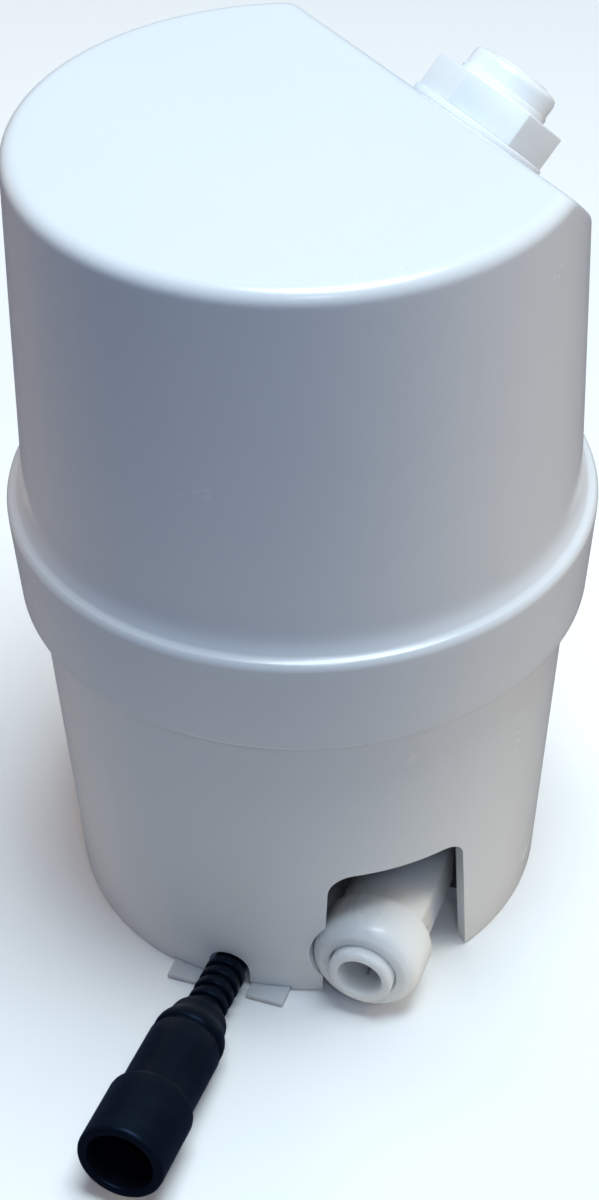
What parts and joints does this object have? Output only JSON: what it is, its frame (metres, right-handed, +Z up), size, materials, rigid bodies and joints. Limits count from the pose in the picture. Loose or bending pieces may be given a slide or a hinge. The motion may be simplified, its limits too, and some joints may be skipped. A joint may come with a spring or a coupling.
{
  "type": "powered in-line water filter",
  "caption": "White cup-shaped water filter with a motor gear pump, push-fit tube inlet and outlet, a hollow-fibre cartridge and a short power socket.",
  "frame": {"origin": "centre of the underside, where the lower cup stands", "axes": "+Z up along the cups; -Y is the side that the inlet and the power socket point to; +X is on the right seen from there"},
  "size_m": [0.083, 0.1185, 0.1251],
  "materials": {
    "white_case": "glossy white moulded plastic",
    "clear_plate": "frosted clear grey plastic",
    "steel": "plain stainless steel",
    "seal_rubber": "matt black rubber",
    "pump_plastic": "dark filled plastic",
    "gear_plastic": "natural acetal",
    "fitting_plastic": "white satin plastic",
    "clear_tube": "translucent silicone",
    "plated_steel": "zinc-plated steel",
    "bronze": "plain bronze",
    "ferrite": "dark ferrite and carbon",
    "copper": "enamelled copper",
    "cartridge_clear": "clear blue-tinted plastic",
    "cartridge_cap": "blue moulded plastic",
    "filter_felt": "off-white felt",
    "fibre_white": "white hollow fibre",
    "potting": "cast resin",
    "milky_fitting": "milky translucent plastic",
    "white_collet": "white acetal",
    "white_union": "glossy white plastic",
    "white_washer": "white satin plastic",
    "black_rubber": "satin black moulded rubber",
    "black_plastic": "black plastic",
    "red_wire": "red insulation",
    "black_wire": "black insulation"
  },
  "bodies": {
    "housing": {"base_plate": "clear_plate", "base_screws": "steel", "black_lead": "black_wire", "check_seat": "seal_rubber", "check_spring": "steel", "contact_pins": "bronze", "cup_seal_ring": "seal_rubber", "deck_screws": "steel", "filter_deck": "fitting_plastic", "front_bearing": "bronze", "idler_pin": "steel", "inlet_fitting": "milky_fitting", "inlet_grab_ring": "steel", "inlet_tube_seal": "seal_rubber", "lower_cup": "white_case", "motor_brushes": "ferrite", "motor_can": "plated_steel", "motor_end_cap": "pump_plastic", "motor_magnets": "ferrite", "motor_terminals": "bronze", "outlet_barb": "fitting_plastic", "power_socket": "black_rubber", "pump_body": "pump_plastic", "pump_cover": "pump_plastic", "pump_screws": "steel", "rear_bearing": "bronze", "red_lead": "red_wire", "riser_tube": "clear_tube", "shaft_seal": "seal_rubber", "socket_insert": "black_plastic"},
    "upper_cup_set": {"upper_cup": "white_case", "outlet_union": "white_union", "outlet_nut": "white_union", "outlet_washer": "white_washer", "outlet_grab_ring": "steel", "outlet_tube_seal": "seal_rubber", "outlet_elbow": "fitting_plastic"},
    "cartridge": {"cartridge_shell": "cartridge_clear", "cartridge_base_cap": "cartridge_cap", "cartridge_top_cap": "cartridge_cap", "prefilter_disc": "filter_felt", "hollow_fibres": "fibre_white", "potting_disc": "potting", "cartridge_seals": "seal_rubber"},
    "rotor": {"motor_shaft": "steel", "rotor_core": "plated_steel", "rotor_windings": "copper", "commutator": "copper", "drive_gear": "gear_plastic"},
    "idler": {"idler_gear": "gear_plastic"},
    "inlet_release": {"inlet_collet": "white_collet"},
    "outlet_release": {"outlet_collet": "white_collet"},
    "check_valve": {"check_poppet": "gear_plastic"}
  },
  "joints": [
    {"name": "cup_lift", "type": "slide", "parent": "housing", "child": "upper_cup_set", "axis": [0, 0, 1], "range_m": [0, 0.06]},
    {"name": "cartridge_lift", "type": "slide", "parent": "housing", "child": "cartridge", "axis": [0, 0, 1], "range_m": [0, 0.03]},
    {"name": "rotor_spin", "type": "hinge", "parent": "housing", "child": "rotor", "pos_m": [0, 0, 0.0091], "axis": [0, 0, 1], "continuous": true},
    {"name": "idler_spin", "type": "hinge", "parent": "housing", "child": "idler", "pos_m": [0, 0.01, 0.0091], "axis": [0, 0, 1], "continuous": true},
    {"name": "inlet_release_press", "type": "slide", "parent": "housing", "child": "inlet_release", "axis": [0, 1, 0], "range_m": [0, 0.0012]},
    {"name": "outlet_release_press", "type": "slide", "parent": "upper_cup_set", "child": "outlet_release", "axis": [-0.4353, -0.5572, -0.7071], "range_m": [0, 0.0012]},
    {"name": "check_valve_lift", "type": "slide", "parent": "housing", "child": "check_valve", "axis": [0, 0, 1], "range_m": [0, 0.0012], "stiffness_N_per_m": 60, "springref_m": -0.001, "deforming": ["check_spring"]}
  ],
  "couplings": [
    {"joint": "cartridge_lift", "follows": "cup_lift", "ratio": 0.5},
    {"joint": "idler_spin", "follows": "rotor_spin", "ratio": -1}
  ]
}
